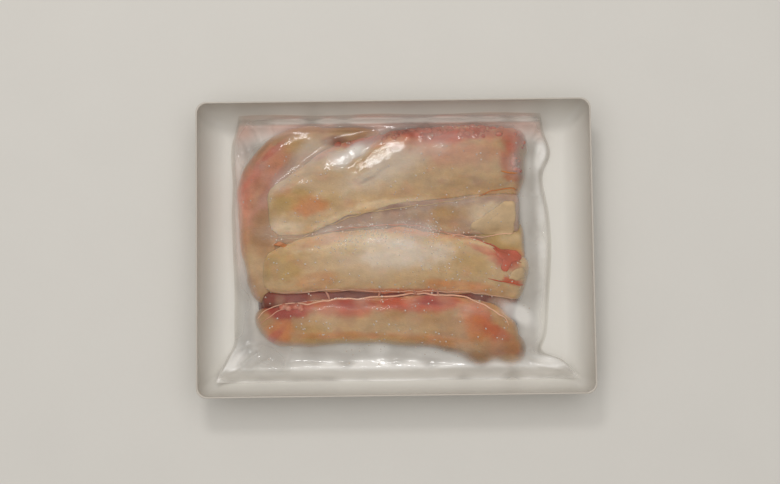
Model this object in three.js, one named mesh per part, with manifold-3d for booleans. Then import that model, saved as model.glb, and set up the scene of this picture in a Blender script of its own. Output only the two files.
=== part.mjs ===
// A shallow white tray of peeled king crab leg meat, sealed under a clear skin film.
// Millimetres, +Z up, +X along the tray. The origin is the middle of the tray's footprint.
import * as THREE from 'three';
import { mergeVertices } from 'three/addons/utils/BufferGeometryUtils.js';
import Module from 'manifold-3d';

const wasm = await Module();
wasm.setup();

// ---- driving dimensions ----
const TRAY_LENGTH = 214;
const TRAY_WIDTH = 160;
const TRAY_HEIGHT = 28;
const FLOOR = 2.4; // thickness of the tray's floor
const WALL = 1.4; // thickness of the tray's wall at the rim
const COVE = 14.3; // how far the curved wall leans out from floor to rim
const FLOOR_CORNER = 4; // corner radius, in plan, where the wall leaves the floor
const RIM_CORNER = 5.5; // corner radius, in plan, at the rim

const GAP = 0.3; // clearance between pieces that touch
const FILM_SEAT = 0.5; // clearance between the film's bonded edge and the curved wall
const PRESS = 0.45; // how far a neighbour's outline is grown before it cuts a softer piece
const WIDEST = 0.42; // a leg is widest at this share of its height
const FILM_EDGE = 0.8; // thickness of the film's bonded edge
const FILM_COVER = 2; // film and trapped juice over the meat
const FILM_SLOPE = 1.3; // how steeply the film comes down from a leg
const POCKET_DEPTH = 6; // how far a pocket for the meat is cut below the film's underside

const CORNER_STEPS = 5;
const COVE_STEPS = 7;
const LEG_STATIONS = 13;
const LEG_SIDES = 12;
const FILM_COLUMNS = 29;
const FILM_ROWS = 23;

const FLOOR_HALF_LENGTH = TRAY_LENGTH / 2 - WALL - COVE;
const FLOOR_HALF_WIDTH = TRAY_WIDTH / 2 - WALL - COVE;

// Each leg is a row of cross-sections: [x, y, half width, height above the floor].
// round is how far its two ends take to round off. An earlier leg presses into a later one.
const LEGS = [
  {
    name: 'leg_back',
    color: 0xbfa886,
    round: [5, 7.5],
    sections: [
      [-66.5, 23.3, 15, 15.5], [-49, 26.8, 18.3, 19.5], [-27, 38, 20, 20.8], [-4, 42.4, 21.6, 21.5],
      [21, 44.9, 21.4, 21], [46, 47, 19.9, 19.3], [66, 47.2, 18.6, 16],
    ],
  },
  {
    name: 'leg_middle',
    color: 0xc9b899,
    round: [7, 7],
    sections: [
      [-68, -11.7, 11.2, 14.5], [-57, -10.2, 14.2, 18.5], [-38, -7, 16, 20.8], [-15, -5.8, 17.4, 22],
      [8, -5.8, 17.8, 21.8], [30, -8.2, 16.2, 20.5], [49, -11.8, 14, 17.8], [65, -16.2, 11.6, 14.3],
    ],
  },
  {
    name: 'leg_front',
    color: 0xb98f68,
    round: [5, 5],
    sections: [
      [-71, -39, 8, 12], [-54, -39.4, 11, 16.5], [-28, -37.8, 11, 18], [0, -38.4, 12.2, 18.5],
      [24, -40.2, 13.6, 18.2], [44, -44.8, 14.8, 17.4], [57, -50, 12.6, 15], [66, -53.2, 8.4, 11.4],
    ],
  },
  {
    name: 'leg_left',
    color: 0xa97f66,
    round: [4, 4],
    sections: [
      [-12, 61.6, 5, 11], [-24, 61, 6.4, 12.2], [-38, 59.4, 8.4, 13.2], [-50, 57, 10.8, 14.4],
      [-61, 50.6, 12.8, 14.8], [-70.5, 36.5, 13.8, 14.4], [-73.2, 20, 12, 13.6], [-73.6, 4, 10.6, 12.6],
      [-73.2, -9, 8.6, 11], [-73.2, -21, 5.6, 8.6],
    ],
  },
  {
    name: 'leg_under_back',
    color: 0x9f8c7c,
    round: [4, 4],
    sections: [
      [-50, 7.6, 5.6, 10.5], [-36, 12, 7.4, 12.2], [-20, 15, 9, 13.2], [0, 16.8, 10.8, 14],
      [20, 17.4, 11.6, 14.6], [42, 18.6, 11.8, 14.6], [62, 18.4, 10.8, 13.2],
    ],
  },
  {
    name: 'leg_under_right',
    color: 0xa8946a,
    round: [3, 4],
    sections: [[40, 3.4, 7, 8.6], [54, 2, 9, 10.4], [66, 2.4, 9.6, 10]],
  },
  {
    name: 'leg_under_front',
    color: 0x7a4638,
    round: [3, 4],
    sections: [
      [-69, -26, 4, 8], [-50, -27, 5.6, 10], [-20, -25.4, 5.6, 11], [10, -25.2, 5.6, 11],
      [38, -26.8, 6.4, 10.6], [52, -30.2, 8, 9.8], [62, -32.6, 7.6, 8.4],
    ],
  },
];

// ---- shared geometry ----

// Joins equal rings of points into one closed surface, with a fan over each end.
function closedSurface(rings) {
  const count = rings[0].length;
  const points = rings.flat();
  const faces = [];
  for (let row = 0; row + 1 < rings.length; row++) {
    for (let i = 0; i < count; i++) {
      const a = row * count + i;
      const b = row * count + ((i + 1) % count);
      faces.push(a, b, b + count, a, b + count, a + count);
    }
  }
  const last = (rings.length - 1) * count;
  const startHub = points.push(centreOf(rings[0])) - 1;
  const endHub = points.push(centreOf(rings.at(-1))) - 1;
  for (let i = 0; i < count; i++) {
    const next = (i + 1) % count;
    faces.push(startHub, next, i, endHub, last + i, last + next);
  }
  return pointsToGeometry(points, faces);
}

function centreOf(ring) {
  const sum = ring.reduce((total, point) => total.add(point), new THREE.Vector3());
  return sum.divideScalar(ring.length);
}

function pointsToGeometry(points, faces) {
  const geometry = new THREE.BufferGeometry();
  const places = points.flatMap((point) => point.toArray());
  geometry.setAttribute('position', new THREE.Float32BufferAttribute(places, 3));
  geometry.setIndex(faces);
  return geometry;
}

function toSolid(geometry) {
  const merged = mergeVertices(geometry, 1e-5);
  return new wasm.Manifold(
    new wasm.Mesh({
      numProp: 3,
      vertProperties: new Float32Array(merged.getAttribute('position').array),
      triVerts: new Uint32Array(merged.getIndex().array),
    }),
  );
}

// A cut can shave off a loose sliver, so only the largest body is kept.
function toGeometry(solid) {
  const bodies = solid.decompose();
  const mesh = bodies.reduce((best, body) => (body.volume() > best.volume() ? body : best)).getMesh();
  const geometry = new THREE.BufferGeometry();
  geometry.setAttribute('position', new THREE.Float32BufferAttribute(mesh.vertProperties, 3));
  geometry.setIndex(Array.from(mesh.triVerts));
  return geometry;
}

function addPiece(group, name, geometry, color, roughness) {
  const faceted = geometry.toNonIndexed();
  faceted.computeVertexNormals();
  const material = new THREE.MeshStandardMaterial({ color, roughness, metalness: 0 });
  const mesh = new THREE.Mesh(faceted, material);
  mesh.name = name;
  group.add(mesh);
}

// ---- tray ----

// One level ring of the tray: a rounded rectangle that stands `out` beyond the floor's outline.
function trayRing(out, z) {
  const radius = THREE.MathUtils.lerp(FLOOR_CORNER, RIM_CORNER, out / (COVE + WALL));
  const halfX = FLOOR_HALF_LENGTH + out - radius;
  const halfY = FLOOR_HALF_WIDTH + out - radius;
  const ring = [];
  for (let corner = 0; corner < 4; corner++) {
    const signX = corner === 0 || corner === 3 ? 1 : -1;
    const signY = corner < 2 ? 1 : -1;
    for (let step = 0; step <= CORNER_STEPS; step++) {
      const angle = (corner + step / CORNER_STEPS) * (Math.PI / 2);
      const x = signX * halfX + radius * Math.cos(angle);
      const y = signY * halfY + radius * Math.sin(angle);
      ring.push(new THREE.Vector3(x, y, z));
    }
  }
  return ring;
}

// The wall is a quarter ellipse outside and inside, level at the floor and upright at the rim.
function trayGeometry() {
  const rings = [];
  const middle = COVE + WALL / 2;
  const lip = WALL / 2;
  const wallTop = TRAY_HEIGHT - lip;
  for (let step = 0; step <= COVE_STEPS; step++) {
    const angle = (step / COVE_STEPS) * (Math.PI / 2);
    rings.push(trayRing((COVE + WALL) * Math.sin(angle), wallTop * (1 - Math.cos(angle))));
  }
  for (const angle of [Math.PI / 4, Math.PI / 2, (Math.PI * 3) / 4]) {
    rings.push(trayRing(middle + lip * Math.cos(angle), wallTop + lip * Math.sin(angle)));
  }
  for (let step = COVE_STEPS; step >= 0; step--) {
    const angle = (step / COVE_STEPS) * (Math.PI / 2);
    rings.push(trayRing(COVE * Math.sin(angle), wallTop - (wallTop - FLOOR) * Math.cos(angle)));
  }
  return closedSurface(rings);
}

// Height of the tray's inner surface under a point.
function trayInside(x, y) {
  const pastX = Math.max(0, Math.abs(x) - FLOOR_HALF_LENGTH + RIM_CORNER);
  const pastY = Math.max(0, Math.abs(y) - FLOOR_HALF_WIDTH + RIM_CORNER);
  const out = Math.max(0, Math.hypot(pastX, pastY) - RIM_CORNER);
  const wallTop = TRAY_HEIGHT - WALL / 2;
  const rise = Math.sqrt(Math.max(0, 1 - (out / COVE) ** 2));
  return wallTop - (wallTop - FLOOR) * rise;
}

// ---- legs ----

// Smooth stations along a leg: centre, direction, half width and height.
function legStations(leg, count = LEG_STATIONS) {
  const middles = leg.sections.map(([x, y]) => new THREE.Vector3(x, y, 0));
  const extents = leg.sections.map(([, , half, high]) => new THREE.Vector3(half, high, 0));
  const path = new THREE.CatmullRomCurve3(middles);
  const sizes = new THREE.CatmullRomCurve3(extents);
  const stations = [];
  for (let i = 0; i < count; i++) {
    const along = i / (count - 1);
    const size = sizes.getPoint(along);
    stations.push({ centre: path.getPoint(along), way: path.getTangent(along), half: size.x, high: size.y });
  }
  return stations;
}

// A round end: smaller and smaller copies of the last station, pushed out past it.
function roundedEnd(station, reach) {
  return [0.5, 0.85, 1].map((share) => {
    const size = Math.sqrt(1 - (share * 0.97) ** 2);
    return {
      ...station,
      centre: station.centre.clone().addScaledVector(station.way, reach * share),
      half: station.half * size,
      high: station.high * (0.45 + 0.55 * size),
    };
  });
}

// A soft round top over a bottom that has settled flat on the tray.
function legSection({ centre, way, half, high }, grow, deep) {
  const side = new THREE.Vector3(-way.y, way.x, 0).normalize();
  const bottom = FLOOR + GAP - grow - deep;
  const top = FLOOR + GAP + high + grow;
  const middle = FLOOR + GAP + high * WIDEST;
  const ring = [];
  for (let i = 0; i < LEG_SIDES; i++) {
    const angle = (i / LEG_SIDES) * Math.PI * 2;
    const up = Math.sin(angle);
    const z = up >= 0 ? middle + (top - middle) * up : middle - (middle - bottom) * Math.abs(up) ** 0.55;
    const point = centre.clone().addScaledVector(side, (half + grow) * Math.cos(angle));
    ring.push(point.setZ(z));
  }
  return ring;
}

function legSolid(leg, grow = 0, deep = 0) {
  const stations = legStations(leg);
  const first = stations[0];
  const start = roundedEnd({ ...first, way: first.way.clone().negate() }, leg.round[0] + grow);
  for (const station of start) station.way = first.way;
  const end = roundedEnd(stations.at(-1), leg.round[1] + grow);
  const all = [...start.reverse(), ...stations, ...end];
  return toSolid(closedSurface(all.map((station) => legSection(station, grow, deep))));
}

// ---- film ----

// Height of the film: a dome over every station of every leg, and a slope down from each dome.
const DOMES_PER_LEG = 30;
const DOME_REACH = 9;
const domes = LEGS.flatMap((leg) => legStations(leg, DOMES_PER_LEG));

function filmHeight(x, y) {
  let height = trayInside(x, y) + FILM_SEAT + FILM_EDGE;
  for (const { centre, way, half, high } of domes) {
    const dx = x - centre.x;
    const dy = y - centre.y;
    const along = (dx * way.x + dy * way.y) / DOME_REACH;
    const across = (-dx * way.y + dy * way.x) / (half + FILM_COVER);
    const reach = Math.hypot(along, across);
    const middle = FLOOR + GAP + high * WIDEST + FILM_COVER;
    const top = FLOOR + GAP + high + FILM_COVER;
    const beyond = reach > 1 ? Math.hypot(dx, dy) * (1 - 1 / reach) : 0;
    const rise = (top - middle) * Math.sqrt(Math.max(0, 1 - reach ** 2));
    const dome = reach < 1 ? middle + rise : middle - FILM_SLOPE * beyond;
    height = Math.max(height, dome);
  }
  return height;
}

// The line where the film meets the tray, across (u) and along (v) the pack, from 0 to 1.
function filmPoint(u, v) {
  const flare = 9 * Math.max(0, 1 - v * 7) ** 1.5;
  const left = -89.8 - 0.9 * Math.sin(v * 13) - 0.7 * flare;
  const right = 84.5 + 3.6 * Math.exp(-(((v - 0.82) / 0.09) ** 2)) + 0.8 * Math.sin(v * 9) + flare;
  const near = -70.5 + 1.2 * Math.sin(u * 11);
  const far = 70.8 + 0.6 * Math.sin(u * 8);
  return [THREE.MathUtils.lerp(left, right, u), THREE.MathUtils.lerp(near, far, v)];
}

// Even steps from 0 to 1, drawn closer together towards both ends, where the film is steep.
function closerAtEnds(step) {
  return THREE.MathUtils.lerp(step, (1 - Math.cos(Math.PI * step)) / 2, 0.4);
}

function filmGeometry() {
  const columns = FILM_COLUMNS;
  const rows = FILM_ROWS;
  const points = [];
  const faces = [];
  const at = (i, j) => j * (columns + 1) + i;
  for (let j = 0; j <= rows; j++) {
    for (let i = 0; i <= columns; i++) {
      const [x, y] = filmPoint(closerAtEnds(i / columns), closerAtEnds(j / rows));
      const onEdge = i === 0 || j === 0 || i === columns || j === rows;
      const z = onEdge ? trayInside(x, y) + FILM_SEAT + FILM_EDGE : filmHeight(x, y);
      points.push(new THREE.Vector3(x, y, z));
    }
  }
  for (let j = 0; j < rows; j++) {
    for (let i = 0; i < columns; i++) {
      faces.push(at(i, j), at(i + 1, j), at(i + 1, j + 1), at(i, j), at(i + 1, j + 1), at(i, j + 1));
    }
  }
  const rim = [];
  for (let i = 0; i < columns; i++) rim.push(at(i, 0));
  for (let j = 0; j < rows; j++) rim.push(at(columns, j));
  for (let i = columns; i > 0; i--) rim.push(at(i, rows));
  for (let j = rows; j > 0; j--) rim.push(at(0, j));
  // Underneath: a band that follows the tray's curved wall down, then the flat floor.
  const below = points.length;
  const flat = below + rim.length;
  const edge = rim.map((index) => points[index]);
  for (const { x, y } of edge) points.push(new THREE.Vector3(x, y, trayInside(x, y) + FILM_SEAT));
  for (const { x, y } of edge) {
    const limitX = FLOOR_HALF_LENGTH - 2;
    const limitY = FLOOR_HALF_WIDTH - 2;
    const floorX = THREE.MathUtils.clamp(x * 0.98, -limitX, limitX);
    const floorY = THREE.MathUtils.clamp(y * 0.98, -limitY, limitY);
    points.push(new THREE.Vector3(floorX, floorY, FLOOR + GAP));
  }
  const hub = points.push(new THREE.Vector3(0, 0, FLOOR + GAP)) - 1;
  for (let k = 0; k < rim.length; k++) {
    const next = (k + 1) % rim.length;
    faces.push(rim[k], below + k, below + next, rim[k], below + next, rim[next]);
    faces.push(below + k, flat + k, flat + next, below + k, flat + next, below + next);
    faces.push(hub, flat + next, flat + k);
  }
  return pointsToGeometry(points, faces);
}

// ---- assembly ----

const pack = new THREE.Group();
addPiece(pack, 'tray', trayGeometry(), 0xb9b2a6, 0.25);

const pressed = [];
for (const leg of LEGS) {
  const solid = pressed.reduce((body, neighbour) => body.subtract(neighbour), legSolid(leg));
  pressed.push(legSolid(leg, PRESS));
  addPiece(pack, leg.name, toGeometry(solid), leg.color, 0.4);
}

const pockets = LEGS.map((leg) => legSolid(leg, PRESS, POCKET_DEPTH));
const film = pockets.reduce((body, pocket) => body.subtract(pocket), toSolid(filmGeometry()));
addPiece(pack, 'skin_film', toGeometry(film), 0xc4bfb6, 0.1);

export default pack;
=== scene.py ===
"""Peeled king crab leg meat in a white tray, sealed under a clear skin film.

Laid out as a Blender add-on. Lengths in the tables are millimetres in the tray's own frame:
+X along the tray, +Y across it towards the largest leg, +Z up, the origin under its middle.
"""

import math

import bpy
import numpy as np
from mathutils import Matrix, Vector
from mathutils.bvhtree import BVHTree


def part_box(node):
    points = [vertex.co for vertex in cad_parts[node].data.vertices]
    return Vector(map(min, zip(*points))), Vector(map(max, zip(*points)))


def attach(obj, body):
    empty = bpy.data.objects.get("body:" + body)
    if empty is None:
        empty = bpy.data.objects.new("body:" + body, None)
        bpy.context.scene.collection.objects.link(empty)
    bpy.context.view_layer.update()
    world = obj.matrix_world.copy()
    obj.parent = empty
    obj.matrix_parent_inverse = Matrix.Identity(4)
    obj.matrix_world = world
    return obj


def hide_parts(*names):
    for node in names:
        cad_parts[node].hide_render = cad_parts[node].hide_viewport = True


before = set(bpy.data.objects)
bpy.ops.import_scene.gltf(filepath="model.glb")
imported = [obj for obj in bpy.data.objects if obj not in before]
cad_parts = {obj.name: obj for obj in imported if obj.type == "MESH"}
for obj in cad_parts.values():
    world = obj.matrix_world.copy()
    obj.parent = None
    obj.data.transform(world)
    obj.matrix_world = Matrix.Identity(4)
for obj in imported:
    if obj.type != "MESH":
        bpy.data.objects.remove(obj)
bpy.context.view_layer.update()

bl_info = {
    "name": "Crab Leg Pack",
    "version": (1, 0, 0),
    "blender": (4, 5, 0),
    "location": "3D View > Sidebar > Crab Pack",
    "description": "Builds a film-sealed tray of peeled king crab leg meat around its CAD frame",
    "category": "Add Mesh",
}

MM = 0.001
BODY = "root"
HALF_LENGTH, HALF_WIDTH, TRAY_HEIGHT = np.array(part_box("tray")[1]) / MM
MEAT_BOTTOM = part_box("leg_back")[0][2] / MM


def linear(red, green, blue):
    """A display colour from 0 to 255 as linear light."""
    display = np.array([red, green, blue]) / 255
    light = np.where(display <= 0.04045, display / 12.92, ((display + 0.055) / 1.055) ** 2.4)
    return tuple(float(x) for x in light)


# ---------------------------------------------------------------- settings


def colour_property(name, description, display):
    """A colour, given from 0 to 255 as displayed."""
    return bpy.props.FloatVectorProperty(
        name=name, description=description, subtype="COLOR", size=3, min=0, max=1,
        default=linear(*display),
    )


def length_property(name, description, default):
    """A length in millimetres."""
    return bpy.props.FloatProperty(
        name=name, description=description + ", in millimetres", default=default, min=0.01, max=100
    )


class TraySettings(bpy.types.PropertyGroup):
    """Sizes and colour of the tray."""

    floor: length_property("Floor", "Thickness of the tray's floor", 2.4)
    wall: length_property("Wall", "Thickness of the tray's wall at the rim", 0.9)
    cove: length_property("Cove", "How far the curved wall leans out from floor to rim", 14.8)
    floor_corner: length_property("Floor corner", "Corner radius where the wall leaves the floor", 4)
    rim_corner: length_property("Rim corner", "Corner radius at the rim", 5.5)
    plastic: colour_property("Plastic", "White plastic of the tray", (214, 210, 202))


class MeatSettings(bpy.types.PropertyGroup):
    """The colours that the leg meat is painted with, and its relief."""

    cream: colour_property("Cream", "Pale meat along the middle of a leg", (204, 182, 150))
    beige: colour_property("Beige", "Body colour of the meat", (186, 157, 119))
    tan: colour_property("Tan", "Deeper body colour", (170, 132, 92))
    olive: colour_property("Olive", "Yellow green meat at the ends", (174, 141, 84))
    orange: colour_property("Orange", "Warm patches at the ends", (186, 114, 56))
    coral: colour_property("Coral", "Orange red of the skin side", (176, 80, 52))
    red: colour_property("Red", "Deepest red of the skin side", (148, 50, 34))
    pink: colour_property("Pink", "Soft blush over the pale meat", (190, 134, 112))
    brown: colour_property("Brown", "Wet brown meat in the gaps", (112, 47, 24))
    mauve: colour_property("Mauve", "Grey purple of the lower legs", (164, 137, 119))
    pale: colour_property("Pale", "Whitest meat, at the middle of a leg", (204, 186, 166))
    membrane: colour_property("Membrane", "Thin pale skin along the edges of a leg", (216, 170, 142))
    fibre: length_property("Fibre relief", "Depth of the grooves between muscle fibres", 0.08)
    lump: length_property("Lump relief", "Height of the broad unevenness", 0.8)


class FilmSettings(bpy.types.PropertyGroup):
    """How the skin film lies, its tints and its bubbles."""

    cling: length_property("Cling", "Distance from the meat to the film", 0.35)
    slope: bpy.props.FloatProperty(
        name="Slope", description="How steeply the stretched film comes down beside the meat",
        default=0.95, min=0.2, max=5)
    tint: colour_property("Tint", "Near white of the film where it is cloudy", (248, 244, 238))
    # Beyond the clean strip at the far wall, this pink is also a painted reflection of the meat in the wall.
    juice: colour_property("Juice", "Pink of the film where juice stains it", (236, 184, 166))
    bubbles: bpy.props.IntProperty(
        name="Bubbles", default=420000, min=0, max=1000000,
        description="How many bubbles lie under a square metre of film where they are closest")


class StageSettings(bpy.types.PropertyGroup):
    """Camera, floor and light."""

    distance: bpy.props.FloatProperty(
        name="Camera distance", description="From the camera to the pack", default=0.9, unit="LENGTH")
    tilt: bpy.props.FloatProperty(
        name="Camera tilt", description="Lean of the camera away from straight down",
        default=math.radians(5.4), subtype="ANGLE")
    roll: bpy.props.FloatProperty(
        name="Camera roll", description="Turn of the camera about its own line of sight",
        default=math.radians(-0.73), subtype="ANGLE")
    floor: colour_property("Floor", "Plain pale floor", (205, 201, 194))
    key: bpy.props.FloatProperty(
        name="Key light", description="Power of the broad light overhead", default=14.2, min=0, unit="POWER")
    window: bpy.props.FloatProperty(
        name="Window light", description="Power of the small bright light that the film mirrors",
        default=2.3, min=0, unit="POWER")
    ambient: bpy.props.FloatProperty(
        name="Ambient", description="Strength of the light from all round", default=0.42, min=0)


# ---------------------------------------------------------------- shapes shared by the pieces


def value_noise(points, scale, seed):
    """Smooth noise from -1 to 1 at each point; scale is the size of one lump in millimetres."""
    size = 32
    lattice = np.random.default_rng(seed).uniform(-1, 1, (size, size, size))
    place = np.asarray(points, float) / scale + 1000.0
    cell = np.floor(place).astype(int)
    part = place - cell
    part = part * part * (3 - 2 * part)
    total = np.zeros(len(place))
    for corner in np.ndindex(2, 2, 2):
        index = (cell + corner) % size
        share = np.where(corner, part, 1 - part).prod(axis=1)
        total += lattice[index[:, 0], index[:, 1], index[:, 2]] * share
    return total


def soft_step(value, low, high):
    """From 0 at low to 1 at high, easing in and out."""
    t = np.clip((value - low) / (high - low), 0, 1)
    return t * t * (3 - 2 * t)


def smooth_rows(rows, count):
    """A smooth curve through rows of numbers, at evenly spaced steps."""
    rows = np.array(rows, float)
    ends = np.vstack([2 * rows[0] - rows[1], rows, 2 * rows[-1] - rows[-2]])
    steps = np.linspace(0, len(rows) - 1 - 1e-9, count)
    k = steps.astype(int)
    t = (steps - k)[:, None]
    before, start, end, after = ends[k], ends[k + 1], ends[k + 2], ends[k + 3]
    return 0.5 * (2 * start + (end - before) * t
                  + (2 * before - 5 * start + 4 * end - after) * t ** 2
                  + (3 * start - before - 3 * end + after) * t ** 3)


def new_piece(name, points, faces, material, replaces=()):
    """A mesh object at the origin, with its place in its mesh, riding on the pack."""
    mesh = bpy.data.meshes.new(name)
    mesh.from_pydata((np.asarray(points) * MM).tolist(), [], [list(face) for face in faces])
    mesh.validate()
    mesh.shade_smooth()
    mesh.materials.append(material)
    piece = bpy.data.objects.new(name, mesh)
    bpy.context.scene.collection.objects.link(piece)
    declare(piece, replaces)
    return piece


def declare(piece, replaces):
    """Tell the frame what the piece rides on, and hide the nodes that it stands for."""
    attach(piece, BODY)
    if replaces:
        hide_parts(*replaces)


def ring_faces(rows, count):
    """Quads between closed rings of equal count, with a fan to a hub over each end."""
    first = np.arange(rows - 1)[:, None] * count + np.arange(count)[None, :]
    after = np.arange(rows - 1)[:, None] * count + (np.arange(count)[None, :] + 1) % count
    quads = np.stack([first, after, after + count, first + count], axis=-1).reshape(-1, 4)
    faces = quads.tolist()
    start_hub, end_hub, last = rows * count, rows * count + 1, (rows - 1) * count
    for i in range(count):
        following = (i + 1) % count
        faces.append([start_hub, following, i])
        faces.append([end_hub, last + i, last + following])
    return faces


def with_hubs(rings):
    """The points of the rings, then the middle of the first and of the last."""
    return np.vstack([rings.reshape(-1, 3), rings[0].mean(0), rings[-1].mean(0)])


# ---------------------------------------------------------------- node helpers


def group_with(name, inputs, outputs):
    """An empty shader node group: inputs are (name, kind, default), outputs (name, kind)."""
    group = bpy.data.node_groups.new(name, "ShaderNodeTree")
    for label, kind, default in inputs:
        socket = group.interface.new_socket(name=label, in_out="INPUT", socket_type=kind)
        if default is not None:
            socket.default_value = default
    for label, kind in outputs:
        group.interface.new_socket(name=label, in_out="OUTPUT", socket_type=kind)
    enter = group.nodes.new("NodeGroupInput")
    leave = group.nodes.new("NodeGroupOutput")
    return group, enter, leave


def add_node(tree, kind, **values):
    """A node with its properties, and its inputs by number or name, set from values."""
    node = tree.nodes.new(kind)
    for key, value in values.items():
        if key.startswith("in_"):
            label = key[3:]
            socket = node.inputs[int(label)] if label.isdigit() else node.inputs[label.replace("_", " ")]
            if isinstance(value, bpy.types.NodeSocket):
                tree.links.new(value, socket)
            else:
                socket.default_value = value
        else:
            setattr(node, key, value)
    return node


def maths(tree, operation, first, second=0.0, clamp=False):
    """The output of a Math node on two values or sockets."""
    node = add_node(tree, "ShaderNodeMath", operation=operation, use_clamp=clamp, in_0=first, in_1=second)
    return node.outputs[0]


def mottle_group():
    """Soft blotches with fine grain on them, as a mask round 0 and a matching height."""
    group, enter, leave = group_with(
        "Mottle",
        [("Position", "NodeSocketVector", None), ("Blotch", "NodeSocketFloat", 300.0),
         ("Grain", "NodeSocketFloat", 1500.0), ("Grain share", "NodeSocketFloat", 0.4)],
        [("Mask", "NodeSocketFloat"), ("Height", "NodeSocketFloat")],
    )
    blotch = add_node(group, "ShaderNodeTexNoise", in_Vector=enter.outputs["Position"],
                      in_Scale=enter.outputs["Blotch"], in_Detail=3.0)
    grain = add_node(group, "ShaderNodeTexNoise", in_Vector=enter.outputs["Position"],
                     in_Scale=enter.outputs["Grain"], in_Detail=4.0)
    broad = maths(group, "SUBTRACT", blotch.outputs["Fac"], 0.5)
    fine = maths(group, "SUBTRACT", grain.outputs["Fac"], 0.5)
    fine = maths(group, "MULTIPLY", fine, enter.outputs["Grain share"])
    total = maths(group, "ADD", broad, fine)
    group.links.new(total, leave.inputs["Mask"])
    group.links.new(grain.outputs["Fac"], leave.inputs["Height"])
    return group


def shared_group(name, make):
    """The node group of this name, made the first time that it is asked for."""
    return bpy.data.node_groups.get(name) or make()


def new_material(name):
    """A material with an empty tree but for its output."""
    material = bpy.data.materials.new(name)
    material.use_nodes = True
    tree = material.node_tree
    tree.nodes.clear()
    out = tree.nodes.new("ShaderNodeOutputMaterial")
    return material, tree, out


def mottle(tree, blotch, grain, share, stretch=(1, 1, 1)):
    """The mottle group placed in a material, in object coordinates."""
    place = add_node(tree, "ShaderNodeTexCoord").outputs["Object"]
    mapping = add_node(tree, "ShaderNodeMapping", in_Vector=place, in_Scale=stretch)
    node = tree.nodes.new("ShaderNodeGroup")
    node.node_tree = shared_group("Mottle", mottle_group)
    tree.links.new(mapping.outputs["Vector"], node.inputs["Position"])
    node.inputs["Blotch"].default_value = blotch
    node.inputs["Grain"].default_value = grain
    node.inputs["Grain share"].default_value = share
    return node


# ---------------------------------------------------------------- materials


def tray_material(colour):
    """Smooth white plastic: hardly uneven, with a soft gloss, and painted shade that darkens the walls
    towards the rim.
    """
    material, tree, out = new_material("tray_plastic")
    spots = mottle(tree, 60.0, 900.0, 0.5)
    level = maths(tree, "MULTIPLY_ADD", spots.outputs["Mask"], 0.05)
    level.node.inputs[2].default_value = 0.30
    tone = add_node(tree, "ShaderNodeMix", data_type="RGBA")
    strength = maths(tree, "MULTIPLY_ADD", spots.outputs["Mask"], 0.6, clamp=True)
    strength.node.inputs[2].default_value = 0.5
    tree.links.new(strength, tone.inputs[0])
    tone.inputs[6].default_value = (*[c * 0.96 for c in colour], 1)
    tone.inputs[7].default_value = (*colour, 1)
    # Painted shade: from 6 mm up to the rim the walls are darkened and warmed, where the overhead light
    # falls on them glancingly.
    place = add_node(tree, "ShaderNodeSeparateXYZ",
                     in_0=add_node(tree, "ShaderNodeTexCoord").outputs["Object"])
    rim = add_node(tree, "ShaderNodeMapRange", in_Value=place.outputs["Z"])
    for label, value in (("From Min", 0.006), ("From Max", 0.028), ("To Min", 0.0), ("To Max", 1.0)):
        rim.inputs[label].default_value = value
    painted_rim_shade = add_node(tree, "ShaderNodeMix", data_type="RGBA", blend_type="MULTIPLY")
    tree.links.new(rim.outputs[0], painted_rim_shade.inputs[0])
    tree.links.new(tone.outputs[2], painted_rim_shade.inputs[6])
    painted_rim_shade.inputs[7].default_value = (0.74, 0.70, 0.66, 1)
    bump = add_node(tree, "ShaderNodeBump", in_Strength=0.05, in_Distance=0.0002,
                    in_Height=spots.outputs["Height"])
    shader = add_node(tree, "ShaderNodeBsdfPrincipled")
    tree.links.new(painted_rim_shade.outputs[2], shader.inputs["Base Color"])
    tree.links.new(level, shader.inputs["Roughness"])
    tree.links.new(bump.outputs["Normal"], shader.inputs["Normal"])
    shader.inputs["Subsurface Weight"].default_value = 0.1
    shader.inputs["Subsurface Radius"].default_value = (0.004, 0.004, 0.004)
    tree.links.new(shader.outputs[0], out.inputs["Surface"])
    return material


def meat_material(name, depth=0.8):
    """Moist meat: the painted tint, broken up by fine fibres and specks; depth is how far light sinks in."""
    material, tree, out = new_material(name)
    tint = add_node(tree, "ShaderNodeAttribute", attribute_name="tint", attribute_type="GEOMETRY")
    spots = mottle(tree, 210.0, 1100.0, 0.5, (0.8, 1.2, 1.0))
    level = maths(tree, "MULTIPLY_ADD", spots.outputs["Mask"], 0.5)
    level.node.inputs[2].default_value = 1.04
    shade = add_node(tree, "ShaderNodeVectorMath", operation="SCALE", in_0=tint.outputs["Color"])
    tree.links.new(level, shade.inputs["Scale"])
    gloss = maths(tree, "MULTIPLY_ADD", spots.outputs["Mask"], 0.25)
    gloss.node.inputs[2].default_value = 0.42
    bump = add_node(tree, "ShaderNodeBump", in_Strength=0.25, in_Distance=0.0004,
                    in_Height=spots.outputs["Height"])
    shader = add_node(tree, "ShaderNodeBsdfPrincipled")
    tree.links.new(shade.outputs[0], shader.inputs["Base Color"])
    tree.links.new(gloss, shader.inputs["Roughness"])
    tree.links.new(bump.outputs["Normal"], shader.inputs["Normal"])
    shader.inputs["Subsurface Weight"].default_value = depth
    shader.inputs["Subsurface Radius"].default_value = (0.006, 0.0035, 0.002)
    shader.inputs["Subsurface Scale"].default_value = 0.45
    tree.links.new(shader.outputs[0], out.inputs["Surface"])
    return material


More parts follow.
